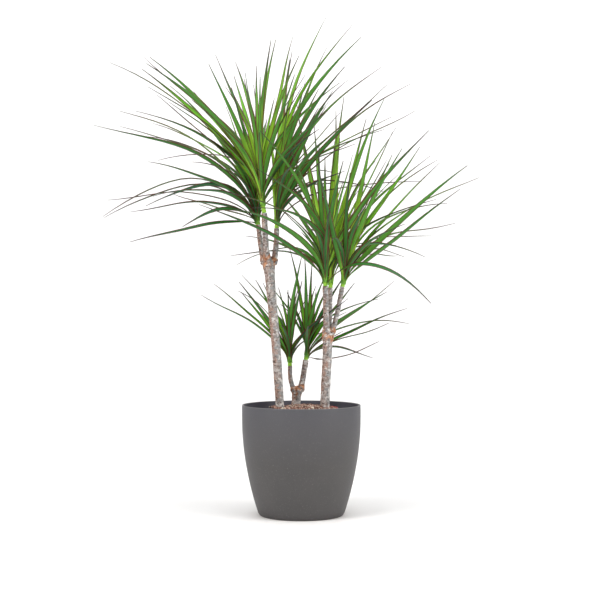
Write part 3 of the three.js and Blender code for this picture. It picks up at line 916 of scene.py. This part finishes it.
def is_clear(points, reach, share, owner):
    """Whether a leaf keeps off all that stands. In its own head it may lie close, and touch at roots."""
    low, high = points.min(axis=0) - widest, points.max(axis=0) + widest
    near = ((standing["points"] > low) & (standing["points"] < high)).all(axis=1)
    others = {key: values[near] for key, values in standing.items()}
    same = others["owner"] == list(heads).index(owner)
    least = np.where(same, 0.5, 1.0) * (reach[:, None] + others["reach"]) + room
    apart = ((points[:, None] - others["points"]) ** 2).sum(axis=2) > least**2
    at_root = same & ((share[:, None] < rooting) | (others["share"] < rooting))
    return bool((apart | at_root).all())


def settle(name, age, candidate):
    """Moves a leaf back and forth until it passes everything that stands, or leaves it out."""
    shares = np.linspace(0, 1, 41)
    for attempt in range(tries):
        offset = math.ceil(attempt / 2) * (1 if attempt % 2 else -1)
        parting, tip, lift, side = candidate(offset)
        points, ways = leaf_line(name, parting, tip, lift, shares)
        length = np.linalg.norm(tip - parting)
        reach = leaf_width(length, shares) / 2
        beyond = shares > 0.1
        if is_clear(points[beyond], reach[beyond], shares[beyond], name):
            stand(points, reach, shares, name)
            placed[name].append((parting, tip, lift, side, length, age))
            return


placed = {name: [] for name in heads}
for name, head in heads.items():
    for leaf in head["leaves"]:
        upright = unit(seen(leaf[0], leaf[1], leaf[2]) - stem_tips[name])[2]
        settle(name, 1 - 0.95 * upright, lambda offset: seen_leaf(name, leaf, depth_step * offset))
for name, head in heads.items():
    count = head["more"]["count"]
    for number in range(count):
        settle(name, 0.9 * number / count, lambda offset: ruled_leaf(name, number, turn_step * offset))


def leaf_finish(name, young, grown, shade, edge):
    """Leaf skin: a green band with fine veins between maroon margins, a pale foot, a withered tip."""
    finish = Finish(name)
    place = finish.node("UVMap", {"uv_map": "leaf"}, {})
    across, along, _ = finish.axes(place)
    age = finish.read("age")
    tone = finish.read("tone")
    wide = finish.node("CombineXYZ", {}, {"X": across * 5, "Y": along * 2.4, "Z": tone * 40})
    fine = finish.node("CombineXYZ", {}, {"X": across * 38, "Y": along * 1.5, "Z": tone * 40})
    vein = finish.noise(fine, 1.0, 3)
    band = finish.noise(wide, 1.0, 3)
    off_middle = abs(across - 0.5) * 2
    fresh = finish.between(age, 0.4, 0.1)
    heart = finish.between(age, 0.24, 0.08)
    outer = finish.between(along, 0.25, 0.85)

    # Young leaves are light and old ones dark, with fine veins, dark sides and light streaks.
    body = finish.blend(finish.between(0.8 * age + 0.8 * tone, 0.25, 1.15), young, grown)
    body = finish.blend(finish.between(vein, 0.42, 0.66) * 0.5, body, shade)
    body = finish.blend(finish.between(off_middle + 0.8 * (band - 0.5), 0.3, 0.9) * 0.45, body, shade)
    streaks = finish.between(band, 0.5, 0.62) * (0.8 - 0.65 * outer) * (1.1 - 0.5 * age)
    body = finish.blend(streaks, body, young)

    # Old leaves turn bluish, most in their outer half, and are darkened low down as painted shade. The
    # youngest are lime.
    body = finish.blend(finish.between(age, 0.5, 1.0) * 0.4, body, colour(46, 96, 68))
    body = finish.blend(finish.between(tone, 0.84, 0.96) * 0.6, body, colour(30, 92, 62))
    bluish = finish.blend(finish.between(age, 0.35, 0.85), colour(40, 92, 56), colour(54, 82, 76))
    body = finish.blend(outer * (0.45 + 0.25 * age), body, bluish)
    # Painted shade on the lower part of older leaves, deep in the head.
    painted_base_shade = finish.between(along, 0.45, 0.12) * finish.between(age, 0.2, 0.6)
    body = finish.blend(painted_base_shade * 0.5, body, shade)
    body = finish.blend(finish.between(age, 0.1, 0.04) * 0.7, body, colour(142, 190, 54))

    # The margins are maroon, the foot fades to lime and pale green, and the tip withers.
    border = off_middle + 0.5 * (band - 0.5) + 0.3 * tone + 0.12 * age
    maroon = finish.between(border, 0.84, 0.94) * finish.between(along, 0.012, 0.04) * edge
    body = finish.blend(maroon, body, colour(92, 44, 38))
    foot = finish.between(along + 0.1 * (band - 0.5) - 0.3 * fresh - 0.24 * heart, 0.08, -0.03)
    lime = finish.blend(fresh, colour(108, 178, 48), colour(154, 202, 58))
    body = finish.blend(foot * (0.6 + 0.2 * fresh) * (1 - 0.8 * maroon), body, lime)
    body = finish.blend(finish.between(along, 0.03, 0.0) * (0.8 - 0.6 * tone), body, colour(148, 204, 92))
    withered = finish.between(along + 0.16 * (band - 0.5) + 0.12 * tone, 0.84, 1.02)
    body = finish.blend(withered * 0.9, body, colour(62, 48, 54))
    finish.surface(
        Base_Color=body,
        Roughness=0.42 + 0.2 * band,
        Normal=finish.bump(0.35, 0.0004, vein),
        Specular_IOR_Level=0.16,
    )
    return finish


leaf_top = leaf_finish("leaf_top", colour(134, 210, 36), colour(46, 134, 20), colour(18, 66, 10), 0.95)
# The undersides are bluish, their own colour, and darkened further as painted shade.
leaf_under_shaded = leaf_finish("leaf_under_shaded", colour(108, 174, 56), colour(46, 108, 50), colour(22, 58, 32), 0.9)
leaf_skin, foot_faces, blade_faces, cross_faces = 0.0006, 4, 14, 4
blade_from, foot_radius_mm, clasp_radius = 0.12, 3.6, 5.2
pith_radius, pith_taper, pith_share, pith_sides, pith_rings = 4.2, 3, 0.6, 24, 16


def stem_end(name):
    """Where a head's core starts, the way that it points, and its height in mm."""
    base, top = stem_tips[name], heads[name]["top"]
    tall = float(np.linalg.norm(top - base))
    return base, (top - base) / tall, tall


def smooth(value):
    """Eases from 0 to 1."""
    value = min(1, max(0, value))
    return value * value * (3 - 2 * value)


def leaf_layers(bm):
    """What the leaf's finish reads: the place on the leaf, its age and its tone."""
    uv = bm.loops.layers.uv.new("leaf")
    return uv, bm.verts.layers.float.new("age"), bm.verts.layers.float.new("tone")


def look_of(name, tone, age):
    """The middle cane's leaves are the lightest, the short cane's look old, the highest head's young."""
    if not name.startswith("middle"):
        tone += 0.2
    if name.startswith("short"):
        age = 0.25 + 0.7 * age
    if name == "tall_middle":
        age = max(0.08, 0.72 * age)
    return tone, age


def leaf_rows(name, parting, tip, lift, side):
    """The rows of a leaf, as share, place and direction, and the way out of the stem at its foot.

    The foot clasps the stem, low down, and runs into the blade, which keeps to the leaf's own line.
    """
    base, stem_way, tall = stem_end(name)
    shares = [blade_from + (1 - blade_from) * row / blade_faces for row in range(blade_faces + 1)]
    points, ways = leaf_line(name, parting, tip, lift, shares)
    outward = points[0] - base - np.dot(points[0] - base, stem_way) * stem_way
    outward = unit(outward + 0.01 * side)
    climb = float(np.dot(parting - base, stem_way)) / tall
    foot = base + (0.6 + 0.4 * climb**1.5 * tall) * stem_way + (foot_radius_mm + 1 - climb) * outward
    span = float(np.linalg.norm(points[0] - foot))
    rise = [foot, foot + 0.22 * span * stem_way, points[0] - 0.4 * span * ways[0], points[0]]
    foot_shares = [row / foot_faces for row in range(foot_faces)]
    foot_points, foot_ways = bezier(rise, foot_shares)
    rows = list(zip([blade_from * share for share in foot_shares], foot_points, foot_ways))
    return rows + list(zip(shares, points, ways)), outward


def skin_point(across, row, outward, side, length, habit):
    """Where a leaf's skin lies, in mm, at a place from -1 to 1 across one of its rows."""
    share, spot, way = row
    twist, phase, curl = habit
    clasp = unit(np.cross(-outward, way))
    level = unit(side - np.dot(side, way) * way)
    turn = math.atan2(np.dot(np.cross(clasp, level), way), np.dot(clasp, level))
    turn = turn * smooth((share - 0.02) / 0.24) + twist * share**2
    right = clasp * math.cos(turn) + np.cross(way, clasp) * math.sin(turn)
    up = np.cross(way, right)

    # The blade is narrow just above its foot, widest a third of the way up, and pointed.
    waist = 0.85 - 0.33 * smooth(share / 0.05) + 0.48 * smooth((share - 0.07) / 0.3)
    half = max(0.9, full_width(length) / 2 * waist * (1 - share**2.1)) if share < 0.995 else 0.25

    # It is wrapped round the stem at its foot, and folded along its middle above, most at its tip.
    wrap = 1 - smooth(share / 0.06)
    round_stem = across * half / clasp_radius
    fold = 0.36 - 0.1 * share + 0.6 * smooth((share - 0.6) / 0.4)
    out = wrap * clasp_radius * math.sin(round_stem) + (1 - wrap) * across * half * math.cos(fold)
    inward = wrap * clasp_radius * (1 - math.cos(round_stem))
    inward += (1 - wrap) * abs(across) * half * math.sin(fold)
    sway = 0.008 * math.sin(9 * share + phase) * smooth((share - 0.2) / 0.4)
    sway += curl * max(0, share - 0.7) ** 2
    return spot + right * out + up * (inward - 0.3 + sway * length)


for name, head in heads.items():
    bm = bmesh.new()
    uv, ages, tones = leaf_layers(bm)
    random = draws(head["more"]["seed"])
    rows_long = foot_faces + blade_faces
    for parting, tip, lift, side, length, age in placed[name]:
        blade = bmesh.ops.create_grid(bm, x_segments=cross_faces, y_segments=rows_long, size=1)["verts"]
        tone, twist = 0.8 * next(random), 0.7 * (next(random) - 0.5)
        habit = (twist, 2 * math.pi * next(random), 0.7 * next(random) - 0.15)
        tone, age = look_of(name, tone, age)
        rows, outward = leaf_rows(name, parting, tip, lift, side)
        if np.dot(side, np.cross(-outward, rows[foot_faces][2])) < 0:
            side = -side
        for vertex in blade:
            across, row = -vertex.co.x, rows[round((vertex.co.y + 1) / 2 * rows_long)]
            vertex.co = Vector(skin_point(across, row, outward, side, length, habit)) * mm
            vertex[ages], vertex[tones] = age, tone
            for loop in vertex.link_loops:
                loop[uv].uv = (0.5 + across / 2, row[0])
    skin = piece(bm, f"leaves_{name}_blades", leaf_top, leaf_under_shaded)
    body = skin.modifiers.new("leaf_thickness", "SOLIDIFY")
    body.thickness = leaf_skin
    body.offset = -1
    body.material_offset = 1
    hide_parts(f"leaves_{name}")

    # The pith of the head, which the feet of the leaves wrap.
    bm = rod(pith_sides, pith_rings)
    uv, ages, tones = leaf_layers(bm)
    base, stem_way, tall = stem_end(name)
    way = Vector(stem_way)
    right = Vector((0, 1, 0)).cross(way).normalized()
    back = way.cross(right)
    start = Vector(base) + Vector((0, 0, 0.3))
    for vertex in bm.verts:
        share = vertex.co.z
        radius = pith_radius - pith_taper * share**1.4
        spot = start + way * share * pith_share * tall
        spot = spot + radius * (vertex.co.x * right + vertex.co.y * back)
        vertex.co = spot * mm
        vertex[ages], vertex[tones] = 0.1, 0.5
        for loop in vertex.link_loops:
            loop[uv].uv = (0.5, 0.1 * share)
    core = piece(bm, f"leaves_{name}_core", leaf_under_shaded)

# -------- studio
# A pale cove, floor and wall in one sweep, under large soft lights on both sides, above and on the
# wall. The camera stands well back at the height of the canes, with a long lens.
cove_side, cove_front, cove_bend, cove_round, cove_top = 4, -4.5, 2.4, 0.9, 4.0
warm, cool, plain = (1.0, 0.94, 0.88), (0.93, 0.96, 1.0), (1.0, 1.0, 1.0)

sweep = Finish("studio_cove")
sweep.surface(Base_Color=colour(238, 238, 238), Roughness=0.9)
bm = bmesh.new()
outline = [(cove_front, 0), *rounded((cove_bend, cove_round), cove_round, -quarter, 0, 16)]
outline.append((cove_bend + cove_round, cove_top))
points = [bm.verts.new((-cove_side, y, z)) for y, z in outline]
edges = [bm.edges.new(pair) for pair in zip(points, points[1:])]
swept = bmesh.ops.extrude_edge_only(bm, edges=edges)["geom"]
far_side = [part for part in swept if isinstance(part, bmesh.types.BMVert)]
bmesh.ops.translate(bm, verts=far_side, vec=(2 * cove_side, 0, 0))
bmesh.ops.recalc_face_normals(bm, faces=bm.faces)
cove = shown(bm, "studio_cove", sweep)


def softbox(name, place, aim, width, height, power, glow):
    """A flat lamp of soft light that faces what it is aimed at."""
    lamp = bpy.data.lights.new(name, "AREA")
    lamp.shape = "RECTANGLE"
    lamp.size, lamp.size_y, lamp.energy, lamp.color = width, height, power, glow
    box = bpy.data.objects.new(name, lamp)
    box.location = place
    box.rotation_euler = (Vector(aim) - Vector(place)).to_track_quat("-Z", "Y").to_euler()
    bpy.context.collection.objects.link(box)


softbox("light_left", (-2.2, -1.8, 1.9), (0, 0, 0.5), 1.4, 1.8, 63, warm)
softbox("light_right", (2.4, -1.2, 1.6), (0, 0, 0.45), 1.4, 1.8, 54, warm)
softbox("light_above", (0, -0.3, 2.6), (0, 0, 0.4), 1.6, 1.6, 44, cool)
softbox("light_backdrop", (0, 1.7, 2.6), (0, 3.3, 0.9), 3.0, 1.0, 36, plain)

world = bpy.data.worlds.new("studio_air")
world.use_nodes = True
air = world.node_tree.nodes["Background"]
air.inputs["Color"].default_value = (1, 1, 1, 1)
air.inputs["Strength"].default_value = 0.4
bpy.context.scene.world = world
bpy.context.scene.view_settings.view_transform = "Standard"
bpy.context.scene.view_settings.look = "None"

lens = bpy.data.cameras.new("camera")
lens.sensor_width = 36
lens.lens = lens.sensor_width * focal_px / picture_px
lens.shift_x = (picture_px / 2 - axis_px) / picture_px
lens.shift_y = (eye_level_px - picture_px / 2) / picture_px
camera = bpy.data.objects.new("camera", lens)
camera.location = (0, -eye_distance * mm, eye_height * mm)
camera.rotation_euler = (math.pi / 2, 0, 0)
bpy.context.collection.objects.link(camera)
bpy.context.scene.camera = camera
